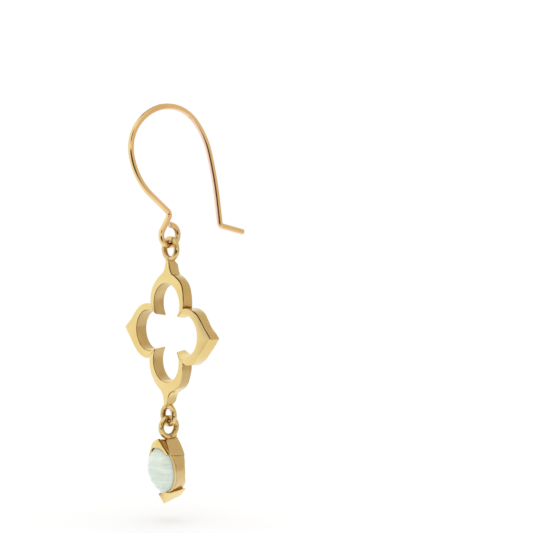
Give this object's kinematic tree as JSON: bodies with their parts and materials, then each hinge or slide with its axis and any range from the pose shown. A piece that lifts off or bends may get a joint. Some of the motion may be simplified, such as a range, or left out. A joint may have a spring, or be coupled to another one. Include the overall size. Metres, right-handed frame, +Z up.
{
  "type": "drop earring",
  "caption": "Hook earring of yellow metal with a pierced quatrefoil link and a pale pointed oval stone hanging in a V-capped setting.",
  "frame": {"origin": "centre of the wire at the crown of the hook, where it hangs in the ear", "axes": "+Z up along the hanging line, -Y to the front, +X to the wearer's left across the quatrefoil"},
  "size_m": [0.0192, 0.0202, 0.0553],
  "materials": {
    "hook_gold": "polished",
    "frame_gold": "polished",
    "moonstone": "polished"
  },
  "bodies": {
    "hook": {"ear_hook": "hook_gold"},
    "quatrefoil_link": {"quatrefoil": "frame_gold"},
    "drop": {"stone_setting": "frame_gold", "moonstone": "moonstone"}
  },
  "joints": [
    {"name": "quatrefoil_swing", "type": "hinge", "parent": "hook", "child": "quatrefoil_link", "pos_m": [0, 0.0007, -0.01898], "axis": [0, 1, 0], "range_deg": [-60, 60]},
    {"name": "drop_swing", "type": "hinge", "parent": "quatrefoil_link", "child": "drop", "pos_m": [0, 0.0007, -0.04376], "axis": [1, 0, 0], "range_deg": [-60, 60]}
  ]
}
